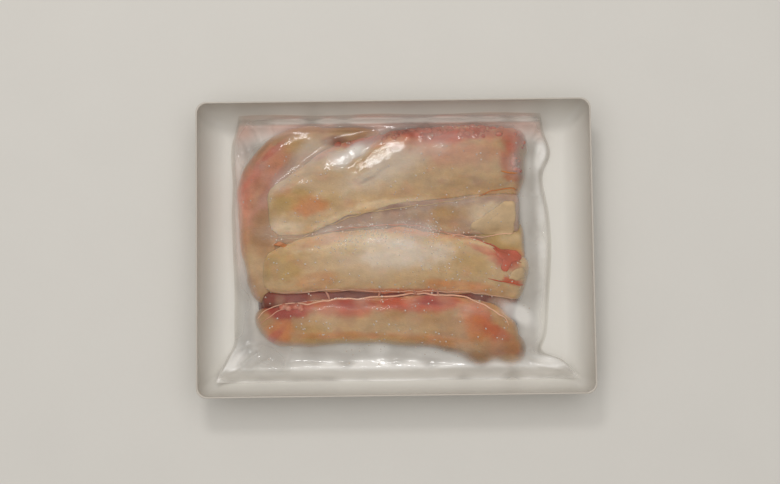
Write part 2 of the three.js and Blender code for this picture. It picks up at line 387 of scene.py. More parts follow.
def film_material():
    """Clear film: little but gloss where it clings, and a pale cloud where it is free."""
    material, tree, out = new_material("clear_film")
    # The haze is milky film, and painted glare where some clouds lie round the highlights.
    haze = add_node(tree, "ShaderNodeAttribute", attribute_name="haze", attribute_type="GEOMETRY")
    ripple = mottle(tree, 120.0, 500.0, 0.35)
    bump = add_node(tree, "ShaderNodeBump", in_Strength=0.25, in_Distance=0.0006,
                    in_Height=ripple.outputs["Height"])
    clear = add_node(tree, "ShaderNodeBsdfTransparent", in_Color=(0.97, 0.965, 0.95, 1))
    cloud = add_node(tree, "ShaderNodeBsdfPrincipled", in_Roughness=0.3)
    tint = add_node(tree, "ShaderNodeAttribute", attribute_name="tint", attribute_type="GEOMETRY")
    tree.links.new(tint.outputs["Color"], cloud.inputs["Base Color"])
    tree.links.new(bump.outputs["Normal"], cloud.inputs["Normal"])
    cloudy = add_node(tree, "ShaderNodeMixShader", in_0=haze.outputs["Fac"])
    tree.links.new(clear.outputs[0], cloudy.inputs[1])
    tree.links.new(cloud.outputs[0], cloudy.inputs[2])
    gloss = add_node(tree, "ShaderNodeBsdfGlossy", in_Roughness=0.09, in_Normal=bump.outputs["Normal"])
    facing = add_node(tree, "ShaderNodeFresnel", in_IOR=1.45, in_Normal=bump.outputs["Normal"])
    shine = add_node(tree, "ShaderNodeAttribute", attribute_name="shine", attribute_type="GEOMETRY")
    mirror = maths(tree, "MULTIPLY", facing.outputs[0], shine.outputs["Fac"])
    film = add_node(tree, "ShaderNodeMixShader", in_0=mirror)
    tree.links.new(cloudy.outputs[0], film.inputs[1])
    tree.links.new(gloss.outputs[0], film.inputs[2])
    tree.links.new(film.outputs[0], out.inputs["Surface"])
    return material


def plain_material(name, colour, roughness):
    """A plain finish with a little unevenness, for the floor."""
    material, tree, out = new_material(name)
    spots = mottle(tree, 25.0, 400.0, 0.5)
    level = maths(tree, "MULTIPLY_ADD", spots.outputs["Mask"], 0.04)
    level.node.inputs[2].default_value = 1.0
    shade = add_node(tree, "ShaderNodeVectorMath", operation="SCALE", in_0=colour)
    tree.links.new(level, shade.inputs["Scale"])
    shader = add_node(tree, "ShaderNodeBsdfPrincipled", in_Roughness=roughness)
    tree.links.new(shade.outputs[0], shader.inputs["Base Color"])
    tree.links.new(shader.outputs[0], out.inputs["Surface"])
    return material


# ---------------------------------------------------------------- tray


CORNER_STEPS = 14
COVE_STEPS = 26
LIP_STEPS = 8


def tray_ring(settings, out, height):
    """One level ring of the tray: a rounded rectangle that stands out beyond the floor's outline."""
    reach = settings.cove + settings.wall
    radius = settings.floor_corner + (settings.rim_corner - settings.floor_corner) * out / reach
    half_x = HALF_LENGTH - reach + out - radius
    half_y = HALF_WIDTH - reach + out - radius
    ring = []
    for corner in range(4):
        sign_x = 1 if corner in (0, 3) else -1
        sign_y = 1 if corner < 2 else -1
        for step in range(CORNER_STEPS + 1):
            angle = (corner + step / CORNER_STEPS) * math.pi / 2
            x = sign_x * half_x + radius * math.cos(angle)
            y = sign_y * half_y + radius * math.sin(angle)
            ring.append((x, y, height))
    return ring


def tray_rings(settings):
    """The section from the middle of the base, up the outside, over the lip and down the inside."""
    lip = settings.wall / 2
    top = TRAY_HEIGHT - lip
    rings = []
    for step in range(COVE_STEPS + 1):
        angle = step / COVE_STEPS * math.pi / 2
        rings.append(tray_ring(settings, (settings.cove + settings.wall) * math.sin(angle),
                               top * (1 - math.cos(angle))))
    for step in range(1, LIP_STEPS):
        angle = step / LIP_STEPS * math.pi
        out = settings.cove + lip + lip * math.cos(angle)
        rings.append(tray_ring(settings, out, top + lip * math.sin(angle)))
    for step in range(COVE_STEPS, -1, -1):
        angle = step / COVE_STEPS * math.pi / 2
        rings.append(tray_ring(settings, settings.cove * math.sin(angle),
                               top - (top - settings.floor) * math.cos(angle)))
    return np.array(rings)


def tray_inside(settings, x, y):
    """Height of the tray's inner surface under points."""
    past_x = np.maximum(0, np.abs(x) - HALF_LENGTH + settings.cove + settings.wall + settings.rim_corner)
    past_y = np.maximum(0, np.abs(y) - HALF_WIDTH + settings.cove + settings.wall + settings.rim_corner)
    out = np.maximum(0, np.hypot(past_x, past_y) - settings.rim_corner)
    top = TRAY_HEIGHT - settings.wall / 2
    rise = np.sqrt(np.clip(1 - (out / settings.cove) ** 2, 0, 1))
    return top - (top - settings.floor) * rise


class PACK_OT_tray(bpy.types.Operator):
    """Make the white tray with its curved walls and rounded rim"""

    bl_idname = "pack.tray"
    bl_label = "Tray"

    def execute(self, context):
        settings = context.scene.pack_tray
        rings = tray_rings(settings)
        faces = ring_faces(len(rings), rings.shape[1])
        new_piece("tray_shell", with_hubs(rings), faces, tray_material(settings.plastic[:]),
                  replaces=["tray"])
        return {"FINISHED"}


# ---------------------------------------------------------------- legs

# Sections are (x, y, half width, height). Ends are how far each end takes to round off.
# Strokes are (colour, x, y, reach along, reach across, turn in degrees, strength).
LEGS = {
    "leg_back": {
        "sections": [
            (-71.5, 22.5, 13.6, 14), (-62, 23.6, 16.0, 18), (-50, 26, 18.4, 20), (-41, 30, 18.8, 20.5),
            (-27, 37.2, 21.6, 21), (-4, 42.6, 21.8, 21.5), (21, 45, 21.6, 21), (48, 47.2, 20, 19.5),
            (64, 47.4, 19.4, 17.5), (73.5, 47, 18.4, 15),
        ],
        "ends": (5, 9),
        "base": "beige",
        "strokes": [
            ("cream", -15, 36, 45, 9, 14, 0.25), ("tan", 14, 29, 66, 6, 5, 0.2),
            ("olive", -34, 26, 14, 5, 20, 0.4),
            ("olive", -58, 26, 17, 9, 20, 0.9), ("orange", -46, 23, 13, 7, 10, 0.75),
            ("orange", -60, 32, 9, 3, 30, 0.3),
            ("cream", -60, 11.5, 14, 5, 4, 0.9), ("cream", -32, 16, 20, 3.5, 22, 0.8),
            ("cream", 0, 24.5, 26, 3, 6, 0.85),
            ("tan", 44, 30, 32, 6, 4, 0.3), ("pink", 40, 50, 30, 9, 2, 0.45),
            ("pink", 18, 61, 62, 7.5, 2, 0.85), ("coral", 10, 63.5, 24, 5, 3, 0.9),
            ("coral", -16, 60.5, 16, 5, 16, 0.85), ("pink", -36, 55, 14, 5, 30, 0.7),
            ("coral", 44, 63, 20, 5, -2, 0.8), ("coral", 30, 61.5, 22, 6, 0, 0.85),
            ("pink", 24, 54, 30, 6, 0, 0.45), ("coral", 66, 60, 11, 10, 0, 0.75),
            ("red", 58, 63, 10, 5, -8, 0.35), ("coral", 64, 46, 8, 12, 10, 0.6),
            ("orange", 66, 38, 9, 3, 0, 0.8), ("orange", 70, 32, 7, 6, 0, 0.35),
            ("red", 2, 65, 10, 2.6, 0, 0.3), ("orange", 28, 25, 6, 3, 6, 0.35),
        ],
    },
    "leg_middle": {
        "sections": [
            (-74.5, -12, 9.9, 12), (-66, -11.4, 12.8, 16.5), (-57, -10.4, 14.6, 19), (-38, -7.4, 16.4, 21),
            (-15, -6.2, 18, 22), (3, -6, 19.2, 22), (25, -8, 17.6, 21), (41, -10, 16.2, 19),
            (55, -13.4, 14.2, 17), (72, -18.6, 11.4, 13),
        ],
        "ends": (7, 6),
        "base": "beige",
        "strokes": [
            ("pale", 2, -3, 36, 10, 0, 0.8), ("cream", -20, 2, 30, 8, 6, 0.5),
            ("olive", -60, -9, 17, 11, 6, 0.8), ("orange", -42, -17, 18, 6, 5, 0.35),
            ("pink", 15, 9, 44, 4, -6, 0.6), ("pink", -38, 5, 20, 4, 14, 0.35),
            ("tan", 5, -20, 64, 6, 0, 0.1), ("coral", -5, -24.4, 62, 3, 0, 0.65),
            ("orange", 36, -21, 26, 4, -4, 0.6), ("olive", 42, -10, 14, 9, -12, 0.45),
            ("coral", 60, -7, 10, 6.5, -18, 0.95), ("red", 62, -6, 6, 3.5, -20, 0.4),
            ("coral", 64, -19, 8, 2.4, -14, 0.85), ("coral", 48, -1.5, 14, 2.6, -18, 0.7),
            ("tan", 58, -25, 12, 5, -8, 0.6),
        ],
    },
    "leg_front": {
        "sections": [
            (-76.5, -34, 3.2, 9), (-72.5, -36.2, 6.6, 11), (-66, -39.4, 11.2, 14),
            (-58, -40.4, 12.5, 16), (-48, -39.8, 12.8, 17.5),
            (-28, -38.4, 12.8, 18), (0, -38.6, 13.8, 18.5), (22, -39.8, 15.3, 18.5), (38, -42.6, 16.8, 18),
            (48, -46.8, 17.2, 17), (57, -51.2, 15, 15), (65, -54, 10.4, 12), (71, -53.6, 5.6, 9),
        ],
        "ends": (4, 5),
        "base": "tan",
        "strokes": [
            ("beige", -8, -44, 46, 8, -2, 0.65), ("olive", -16, -50, 54, 4.5, -1, 0.75),
            ("orange", -63, -44, 12, 9, 30, 0.9), ("coral", -66, -47, 10, 3, 40, 0.7),
            ("red", -58, -32, 18, 8, 8, 0.95), ("red", -62, -31, 14, 5, 6, 0.9),
            ("coral", -28, -31.5, 28, 7.5, 2, 0.95),
            ("coral", 12, -30, 38, 6.5, 0, 0.95), ("red", 20, -28.5, 18, 4.4, 0, 0.85),
            ("red", -24, -29.4, 20, 4, 0, 0.75),
            ("coral", 44, -38, 13, 9, -25, 0.75), ("pink", 44, -33, 8, 6, -30, 0.45),
            ("orange", 45, -44, 16, 8, -20, 0.7), ("coral", 54, -46, 13, 5, -30, 0.65),
            ("orange", 58, -56, 14, 8, -10, 0.5), ("olive", -45, -45, 15, 6, 0, 0.45),
            ("orange", 20, -50, 34, 4, -6, 0.35), ("orange", -30, -47, 34, 2.6, 0, 0.45),
            ("beige", 60, -61, 12, 4, 0, 0.6),
        ],
    },
    "leg_left": {
        "sections": [
            (-6, 62, 5, 11), (-20, 61.5, 6.5, 12.5), (-36, 60, 8, 13.5), (-48, 58, 10.5, 15.5),
            (-61, 51, 13.5, 16),
            (-70.5, 36.5, 14.8, 15.5), (-73.2, 20, 12.8, 14.5), (-73.8, 4, 11.2, 13.5),
            (-73.2, -9, 9.2, 12),
            (-73.4, -20, 6.5, 10), (-73, -28, 4, 8),
        ],
        "ends": (6, 5),
        "base": "tan",
        "strokes": [
            ("pink", -74, 36, 30, 15, 66, 0.85), ("coral", -78, 34, 20, 5, 74, 0.4),
            ("brown", -72, 14, 30, 8, 90, 0.22), ("olive", -76, 30, 12, 5, 70, 0.2),
            ("pink", -82, 15, 26, 5, 90, 0.35), ("orange", -60, 52, 16, 5, 40, 0.5),
            ("coral", -66, 54, 14, 2.4, 42, 0.6), ("olive", -47, 58, 15, 7, 12, 0.85),
            ("beige", -30, 62, 16, 4, 4, 0.4),
            ("beige", -42, 62, 12, 4, 10, 0.5), ("coral", -84, 32, 8, 3, 75, 0.35),
            ("beige", -76, -8, 8, 10, 90, 0.6), ("brown", -32, 60, 8, 4, 10, 0.7),
            ("brown", -64, 38, 22, 3, 48, 0.25),
        ],
    },
    "leg_under_back": {
        "sections": [
            (-68, 2.5, 6, 11), (-54, 6, 7, 12.5), (-36, 12, 8.5, 14.5), (-26, 14.4, 10.6, 15.5),
            (-4, 16.6, 12.4, 16.5),
            (18, 17.4, 13, 17), (40, 18.8, 13, 17), (54, 19, 12.2, 16.5), (69, 18.6, 11.2, 15),
        ],
        "ends": (4, 2.5),
        "base": "mauve",
        "strokes": [
            ("tan", -58, 5, 17, 6, 10, 0.85), ("brown", -44, 8, 9, 4, 20, 0.3),
            ("tan", 26, 15, 20, 9, 0, 0.75),
            ("brown", 12, 14, 8, 6, 0, 0.25), ("olive", 30, 20, 16, 5, 4, 0.35),
            ("cream", 53, 18, 14, 8, 8, 0.75), ("cream", 58, 11, 9, 5, 0, 0.4),
            ("tan", 38, 10, 16, 4, -4, 0.4), ("brown", 0, 22, 34, 3, 8, 0.3),
        ],
    },
    "leg_under_right": {
        "sections": [(36, 4, 8, 11), (52, 2.5, 10.5, 13), (62, 2.6, 11.5, 12.5), (71.5, 3, 11, 10)],
        "ends": (3, 3),
        "base": "olive",
        "strokes": [
            ("brown", 44, 5, 10, 4, -10, 0.6), ("cream", 62, 5, 9, 4, 0, 0.5),
            ("orange", 66, -4, 10, 4, -10, 0.6), ("brown", 72, 3, 3, 8, 0, 0.4),
        ],
    },
    "leg_under_front": {
        "sections": [
            (-73, -26, 4.4, 9), (-52, -27, 7, 12), (-20, -25.6, 7, 13), (10, -25.4, 7, 13),
            (38, -27, 8, 12.5), (52, -30.6, 9.5, 11), (66, -34, 9, 9),
        ],
        "ends": (3, 3),
        "base": "brown",
        "strokes": [
            ("red", -50, -26, 26, 5, 0, 0.45), ("red", 10, -26, 40, 5, 0, 0.35),
            ("mauve", 56, -31, 9, 7, 0, 0.8),
        ],
    },
}
WIDEST = 0.16  # a leg is widest at this share of its height
SHOULDER = 0.62  # below 1, a section is fuller than an ellipse
UNDERSIDE = 0.55  # the same for the part below the widest
BLUNTNESS = 2.4  # above 2, an end is blunter than an ellipse
TIP = 0.12  # a tip's width, as a share of the leg's
RING_SPACING = 0.62  # millimetres along a leg
FINE_SIDES, PLAIN_SIDES = 112, 84  # points round a leg
MANY_STROKES = 12  # a leg with more strokes than this gets the finer rings
PAINTED_EDGE_LIGHT = 0.55  # painted light: how much paler the paint is along a leg's thin sides, standing in for light shining through them


def leg_surface(leg, seed, settings, stations, sides):
    """Points of a leg, ring by ring: a soft crown with fibres over a bottom that has settled flat."""
    x, y, half, high = smooth_rows(leg["sections"], stations).T
    path = np.stack([x, y], axis=1)
    way = np.gradient(path, axis=0)
    way /= np.linalg.norm(way, axis=1, keepdims=True)
    side = np.stack([-way[:, 1], way[:, 0]], axis=1)
    run = np.concatenate([[0], np.cumsum(np.linalg.norm(np.diff(path, axis=0), axis=1))])
    start, end = leg["ends"]
    near_end = np.clip(np.minimum(run / start, (run[-1] - run) / end), 0, 1)
    taper = np.maximum((1 - (1 - near_end) ** BLUNTNESS) ** (1 / BLUNTNESS), TIP)
    angle = np.linspace(0, 2 * math.pi, sides, endpoint=False)
    across = np.sign(np.cos(angle)) * np.abs(np.cos(angle)) ** SHOULDER
    up = np.sin(angle)
    bank = np.sign(across)[None, :] * 50
    banks = np.stack(np.broadcast_arrays(run[:, None], bank, 0.0), axis=-1).reshape(-1, 3)
    edge = (value_noise(banks, 10, seed) + 0.6 * value_noise(banks, 4, seed + 6)).reshape(stations, sides)
    width = half[:, None] * taper[:, None] + 0.8 * edge * np.abs(across) ** 3
    middle = MEAT_BOTTOM + high * WIDEST
    top = MEAT_BOTTOM + high * (0.4 + 0.6 * taper)
    rise = np.where(up >= 0, (top - middle)[:, None] * np.abs(up) ** SHOULDER,
                    -(middle - MEAT_BOTTOM)[:, None] * np.abs(up) ** UNDERSIDE)
    points = np.empty((stations, sides, 3))
    points[..., :2] = path[:, None, :] + side[:, None, :] * (width * across[None, :])[..., None]
    points[..., 2] = middle[:, None] + rise
    flat = points.reshape(-1, 3)
    lumps = value_noise(flat, 15, seed + 1) + 0.5 * value_noise(flat, 7, seed + 2)
    lateral = (width * across[None, :]).reshape(-1)
    along = np.repeat(run, sides)
    strands = np.stack([along / 16, (lateral + 1.2 * value_noise(flat, 20, seed + 5)) / 1.3,
                        np.zeros(len(flat))], axis=1)
    fibres = value_noise(strands, 1, seed + 3) + 0.6 * value_noise(strands * (1.6, 2.3, 1), 1, seed + 4)
    crown = soft_step(np.tile(up, stations), -0.1, 0.5)
    flat[:, 2] += crown * (settings.lump * lumps + settings.fibre * fibres)
    flat[:, 2] = np.maximum(flat[:, 2], MEAT_BOTTOM)
    # The second result is the mask of the thin sides, where painted light makes the paint paler.
    return flat.reshape(stations, sides, 3), np.tile(np.abs(across) ** 4, stations)


def paint(points, leg, colours, seed):
    """Colours for points: the leg's base, then soft strokes with ragged edges laid over it."""
    tint = np.tile(colours[leg["base"]], (len(points), 1))
    ragged = 0.6 * value_noise(points, 6, seed) + 0.4 * value_noise(points, 2.4, seed + 1)
    for name, x, y, along, across, turn, strength in leg["strokes"]:
        reach = turned_reach(points[:, 0], points[:, 1], x, y, along, across, turn)
        weight = strength * soft_step(1 - reach + 0.3 * ragged, 0.0, 0.6)
        tint += (colours[name] - tint) * weight[:, None]
    streaks = value_noise(points * (0.12, 1, 1), 1.7, seed + 2)
    blotches = value_noise(points, 9, seed + 3)
    veins = soft_step(value_noise(points * (0.5, 1, 1), 3.2, seed + 4), 0.25, 0.8)
    tint += (colours["pink"] - tint) * (0.22 * veins)[:, None]
    tint += (colours["cream"] - tint) * (0.3 * soft_step(blotches, 0.1, 0.8))[:, None]
    return np.clip(tint * (1 + 0.025 * streaks)[:, None], 0, 1)


def store_colour(mesh, name, tint):
    """Keep a colour for each point, for the material to read."""
    layer = mesh.color_attributes.new(name, "FLOAT_COLOR", "POINT")
    rgba = np.ones((len(tint), 4), np.float32)
    rgba[:, :3] = tint
    layer.data.foreach_set("color", rgba.ravel())


def store_value(mesh, name, values):
    """Keep a number for each point, for the material or the scatter to read."""
    layer = mesh.attributes.new(name, "FLOAT", "POINT")
    layer.data.foreach_set("value", np.asarray(values, np.float32))


def palette(settings):
    """The named meat colours."""
    names = MeatSettings.__annotations__.keys() - {"fibre", "lump"}
    return {name: np.array(getattr(settings, name)[:]) for name in names}


class PACK_OT_legs(bpy.types.Operator):
    """Make the seven pieces of leg meat with their fibres and painted tints"""

    bl_idname = "pack.legs"
    bl_label = "Leg meat"

    def execute(self, context):
        settings = context.scene.pack_meat
        colours = palette(settings)
        for number, (name, leg) in enumerate(LEGS.items()):
            seed = 100 + 20 * number
            length = sum(math.dist(a[:2], b[:2]) for a, b in zip(leg["sections"], leg["sections"][1:]))
            stations = int(length / RING_SPACING)
            sides = FINE_SIDES if len(leg["strokes"]) > MANY_STROKES else PLAIN_SIDES
            rings, thin = leg_surface(leg, seed, settings, stations, sides)
            points = with_hubs(rings)
            # Painted light: the thin sides of each leg are painted paler, standing in for light shining
            # through the meat.
            painted_edge_light = 1 + PAINTED_EDGE_LIGHT * np.append(thin, (0, 0))
            title = name + "_meat"
            piece = new_piece(title, points, ring_faces(stations, sides), meat_material(title),
                              replaces=[name])
            store_colour(piece.data, "tint", paint(points, leg, colours, seed + 10) * painted_edge_light[:, None])
        return {"FINISHED"}


# ---------------------------------------------------------------- skins, flaps and lumps

# Strands are (colour, radius, whether they bridge a gap, points (x, y)).
STRANDS = [
    ("beige", 0.26, False, [(-71, 8.5), (-60, 6.4), (-52, 6.2), (-47, 8), (-42, 11.4), (-34, 13.6),
                               (-24, 17),
                               (-8, 20.8), (8, 22.6), (25, 24.4), (47, 27.8), (62, 28.8)]),
    ("membrane", 0.3, False, [(-71, -20), (-66, -22.4), (-58, -23.4), (-48, -23), (-36, -22), (-20, -22.6),
                               (2, -23.4), (22, -23.8), (41, -24.4), (56, -26.4), (69, -28)]),
    ("pink", 0.3, False, [(-40, 8.4), (-27, 11), (-10, 12.6), (6, 12.6), (25, 9.2), (41, 5.8), (55, 0.4)]),
    ("coral", 0.42, False, [(40, 6.2), (48, 3.2), (55, 0), (62, -4), (69, -8.4)]),
    ("membrane", 0.5, False, [(-75, -36.6), (-71, -33), (-66, -30.4), (-60, -29), (-52, -29), (-46, -29.8),
                              (-38, -28), (-30, -27), (-22, -27.4), (-14, -26), (-4, -26), (4, -25.2),
                              (13, -24.7),
                              (22, -25.8), (30, -25.6), (38, -26.8), (42, -28.6), (46, -30.4), (52, -33.4),
                              (57, -36.7), (60, -39.6), (61, -42.4)]),
    ("pink", 0.3, False, [(-74, -40), (-68, -36), (-64, -33), (-58, -31.6), (-50, -31.6)]),
    ("coral", 0.35, False, [(50, -17), (58, -18.6), (66, -20.4), (71, -20)]),
    ("membrane", 0.3, False, [(24, 9.4), (33, 7.2), (41, 6), (50, 6.2), (60, 7.2), (66, 8)]),
    ("tan", 0.3, False, [(50, 13), (54, 16), (57, 19), (58, 22)]),
    ("orange", 0.4, False, [(46, 28), (54, 31), (62, 32), (71, 31)]),
    ("orange", 0.5, False, [(58, 41), (64, 40), (71, 40.6)]),
]
# Short strands over the dark gap: (x, how far each leans, how much sooner it stops).
for x, lean, rise in ((-38, 1.4, 0), (-8, -0.8, 1), (10, 1, 2), (22.5, 0.6, 1.6)):
    STRANDS.append(("pink", 0.6, True, [(x, -22.8), (x + lean, -24.8), (x + 1.6 * lean, -27.4 + rise)]))

# Flaps are (colour, thickness, outline (x, y)).
FLAPS = [
    ("beige", 0.3, [(41, 10), (48, 7.6), (58, 7), (64.5, 7.8), (65.4, 15), (66, 24.4), (60, 24.6),
                    (55, 21.4),
                    (48, 16.6), (43, 13.6)]),
    ("beige", 0.5, [(61.5, -17.4), (63.6, -13.2), (69.6, -11.6), (72, -14.4), (69, -17.8)]),
    ("orange", 0.9, [(-66, 2.6), (-63.4, 4.4), (-60, 4), (-58.6, 2.4), (-61.6, 1.4)]),
    ("coral", 0.5, [(53.6, -0.4), (60, -1), (66, -1.8), (69.4, -4), (67.6, -7.4), (63, -9),
                    (60.6, -13.8), (57.4, -12),
                    (58.4, -7.6), (55.6, -4)]),
]

# Juice that has gathered under the meat, as its outline.
PUDDLE = [(-78, 48), (-58, 58), (0, 61), (64, 60), (68, 30), (66, -18), (64, -54), (36, -50),
          (0, -42), (-66, -42),
          (-76, -14)]

# Lump bands are (half width, centre line (x, y)).
LUMP_BANDS = [
    (3.4, [(-32, 55.4), (-20, 59), (-8, 61), (6, 63), (20, 63.6), (40, 64), (56, 63.6), (68, 62.6)]),
    (3.0, [(70, 64), (68.6, 56), (67.6, 48), (67, 40)]),
    (2.2, [(50, 0.4), (56, -3), (62, -7), (68, -11)]),
    (1.1, [(-70, -33), (-60, -31.4), (-50, -32)]),
]
LUMP_ROWS, LUMP_COLUMNS = 60, 7  # points along and across a lump band

# Rings of the juice, from its middle out and back over the top: (share of its outline, height).
PUDDLE_RINGS = [(0.02, 0), (0.5, 0), (0.97, 0), (1, 0.6), (0.98, 2.6), (0.9, 4), (0.5, 4.4), (0.02, 4.4)]


def scatter_group():
    """Small rounded bodies over a surface, closest where its weight is highest."""
    group = bpy.data.node_groups.new("Scatter", "GeometryNodeTree")
    group.interface.new_socket(name="Geometry", in_out="OUTPUT", socket_type="NodeSocketGeometry")
    for label, kind in (
        ("Geometry", "Geometry"), ("Density", "Float"), ("Smallest", "Float"), ("Largest", "Float"),
                        ("Flatness", "Float"), ("Unevenness", "Float"), ("Detail", "Int"), ("Seed", "Int"),
                        ("Material", "Material")):
        group.interface.new_socket(name=label, in_out="INPUT", socket_type="NodeSocket" + kind)
    given = group.nodes.new("NodeGroupInput").outputs
    weight = add_node(group, "GeometryNodeInputNamedAttribute", data_type="FLOAT", in_Name="weight")
    density = maths(group, "MULTIPLY", weight.outputs["Attribute"], given["Density"])
    spots = add_node(group, "GeometryNodeDistributePointsOnFaces", in_Mesh=given["Geometry"],
                     in_Density=density, in_Seed=given["Seed"])
    size = add_node(group, "FunctionNodeRandomValue", data_type="FLOAT", in_2=given["Smallest"],
                    in_3=given["Largest"], in_Seed=given["Seed"]).outputs[1]
    scale = add_node(group, "ShaderNodeCombineXYZ", in_X=size, in_Y=size,
                     in_Z=maths(group, "MULTIPLY", size, given["Flatness"]))
    body = add_node(group, "GeometryNodeMeshIcoSphere", in_Radius=1.0, in_Subdivisions=given["Detail"])
    bodies = add_node(group, "GeometryNodeInstanceOnPoints", in_Points=spots.outputs["Points"],
                      in_Instance=body.outputs["Mesh"], in_Rotation=spots.outputs["Rotation"],
                      in_Scale=scale.outputs[0])
    solid = add_node(group, "GeometryNodeRealizeInstances", in_Geometry=bodies.outputs["Instances"])
    noise = add_node(group, "ShaderNodeTexNoise", in_Scale=620.0, in_Detail=2.0,
                     in_Vector=add_node(group, "GeometryNodeInputPosition").outputs[0])
    swell = maths(group, "MULTIPLY", maths(group, "SUBTRACT", noise.outputs[0], 0.45), given["Unevenness"])
    push = add_node(group, "ShaderNodeVectorMath", operation="SCALE", in_Scale=swell,
                    in_0=add_node(group, "GeometryNodeInputNormal").outputs[0])
    uneven = add_node(group, "GeometryNodeSetPosition",
                      in_Geometry=solid.outputs[0], in_Offset=push.outputs[0])
    soft = add_node(group, "GeometryNodeSetShadeSmooth", in_0=uneven.outputs[0])
    done = add_node(group, "GeometryNodeSetMaterial",
                    in_Geometry=soft.outputs[0], in_Material=given["Material"])
    leave = group.nodes.new("NodeGroupOutput")
    group.links.new(done.outputs[0], leave.inputs["Geometry"])
    return group


def scatter(name, points, faces, weight, inputs):
    """Scatter bodies over a patch and keep them as one plain piece."""
    mesh = bpy.data.meshes.new(name + "_patch")
    mesh.from_pydata((np.asarray(points) * MM).tolist(), [], [list(face) for face in faces])
    store_value(mesh, "weight", weight)
    patch = bpy.data.objects.new(name + "_patch", mesh)
    bpy.context.scene.collection.objects.link(patch)
    modifier = patch.modifiers.new("Scatter", "NODES")
    modifier.node_group = shared_group("Scatter", scatter_group)
    for socket in modifier.node_group.interface.items_tree:
        if socket.in_out == "INPUT" and socket.name in inputs:
            modifier[socket.identifier] = inputs[socket.name]
    graph = bpy.context.evaluated_depsgraph_get()
    plain = bpy.data.meshes.new_from_object(patch.evaluated_get(graph), depsgraph=graph)
    plain.name = name
    patch.modifiers.remove(modifier)
    bpy.data.objects.remove(patch)
    piece = bpy.data.objects.new(name, plain)
    bpy.context.scene.collection.objects.link(piece)
    declare(piece, ())
    return piece


def mesh_points(mesh):
    """The mesh's points in millimetres."""
    points = np.empty(len(mesh.vertices) * 3)
    mesh.vertices.foreach_get("co", points)
    return points.reshape(-1, 3) / MM


def strand_rings(path, radius):
    """Round rings along a path, thin at both ends."""
    way = np.gradient(path, axis=0)
    way /= np.linalg.norm(way, axis=1, keepdims=True)
    side = np.cross(way, (0, 0, 1))
    side /= np.linalg.norm(side, axis=1, keepdims=True)
    up = np.cross(side, way)
    angle = np.linspace(0, 2 * math.pi, 10, endpoint=False)
    thin = radius * np.clip(np.sin(np.linspace(0, math.pi, len(path))), 0.05, 1) ** 0.4
    return (path[:, None] + thin[:, None, None] * (side[:, None] * np.cos(angle)[None, :, None]
                                                  + up[:, None] * np.sin(angle)[None, :, None]))


def gather(name, parts, colours):
    """One meat piece from separate closed parts, each given as (rings, colour name)."""
    points, faces, tint = [], [], []
    for rings, colour in parts:
        start = sum(len(p) for p in points)
        points.append(with_hubs(rings))
        faces += [[start + i for i in face] for face in ring_faces(len(rings), rings.shape[1])]
        shade = 1 + 0.12 * value_noise(points[-1], 5, 77)
        tint.append(colours[colour] * shade[:, None])
    piece = new_piece(name, np.vstack(points), faces, meat_material(name, 0.0))
    store_colour(piece.data, "tint", np.clip(np.vstack(tint), 0, 1))


def lump_bands(xs, ys, soft):
    """Strips just under the meat's surface that the coral lumps grow on, as points and faces."""
    bands = []
    for half, line in LUMP_BANDS:
        line = smooth_rows(line, LUMP_ROWS)
        across = np.cross(np.gradient(np.c_[line, line[:, 0] * 0], axis=0), (0, 0, 1))[:, :2]
        across /= np.linalg.norm(across, axis=1, keepdims=True)
        rows = line[:, None] + across[:, None] * np.linspace(-half, half, LUMP_COLUMNS)[None, :, None]
        height = sample(xs, ys, soft, rows[..., 0], rows[..., 1]) - 0.3
        bands.append(np.dstack([rows, height]).reshape(-1, 3))
    count = LUMP_ROWS * LUMP_COLUMNS
    faces = np.vstack([sheet_faces(LUMP_ROWS, LUMP_COLUMNS) + count * k for k in range(len(bands))])
    return np.vstack(bands), faces


def make_lumps(xs, ys, soft, colours):
    """The lumps along the skin side, between coral and pink."""
    points, faces = lump_bands(xs, ys, soft)
    weight = soft_step(value_noise(points, 8, 61), -0.35, 0.5)
    lumps = scatter("skin_lumps", points, faces, weight, {
        "Density": 240000.0, "Smallest": 0.0006, "Largest": 0.0021, "Flatness": 0.6, "Unevenness": 0.0022,
        "Detail": 3, "Seed": 4, "Material": meat_material("skin_lumps", 0.1)})
    places = mesh_points(lumps.data)
    share = soft_step(value_noise(places, 3.5, 62), -0.5, 0.6)[:, None]
    tint = colours["coral"] * (1 - 0.8 * share) + colours["pink"] * 0.8 * share
    store_colour(lumps.data, "tint", np.clip(tint, 0, 1))


def puddle_rings():
    """The juice under the meat, as a low flat body."""
    edge = smooth_rows(PUDDLE + PUDDLE[:1], 121)[:-1]
    return np.array([np.c_[edge * out, edge[:, 0] * 0 + MEAT_BOTTOM + high] for out, high in PUDDLE_RINGS])


def flap_rings(xs, ys, soft, thickness, edge):
    """One flap with a ragged edge: rings over its top, then back under it."""
    edge = smooth_rows(edge + edge[:1], 57)[:-1]
    edge = edge + 0.6 * np.stack([value_noise(np.c_[edge, edge[:, 0]], 3, k) for k in (71, 72)], axis=1)
    middle = edge.mean(0)
    rings = []
    for side, out in [(1, r) for r in np.linspace(0.06, 1, 16)] + [(-1, r) for r in (1, 0.7, 0.3, 0.06)]:
        flat = middle + (edge - middle) * out
        base = sample(xs, ys, soft, flat[:, 0], flat[:, 1])
        rings.append(np.c_[flat, base + (thickness * (1 - out ** 6) + 0.1 if side > 0 else -0.4)])
    return np.array(rings)[::-1]


def laid_strand(xs, ys, soft, radius, bridges, line):
    """One strand, lying on the meat or crossing a gap."""
    length = sum(math.dist(a, b) for a, b in zip(line, line[1:]))
    path = smooth_rows(line, max(8, int(length / 0.8)))
    if not bridges:
        stray = np.c_[path, path[:, 0] * 0]
        path = path + 0.5 * np.stack([value_noise(stray, 4, k) for k in (73, 74)], axis=1)
    height = sample(xs, ys, soft, path[:, 0], path[:, 1])
    if bridges:
        height = np.maximum(height, np.linspace(height[0], height[-1], len(height)) - 0.8)
    return strand_rings(np.c_[path, height + 0.4 * radius], radius)


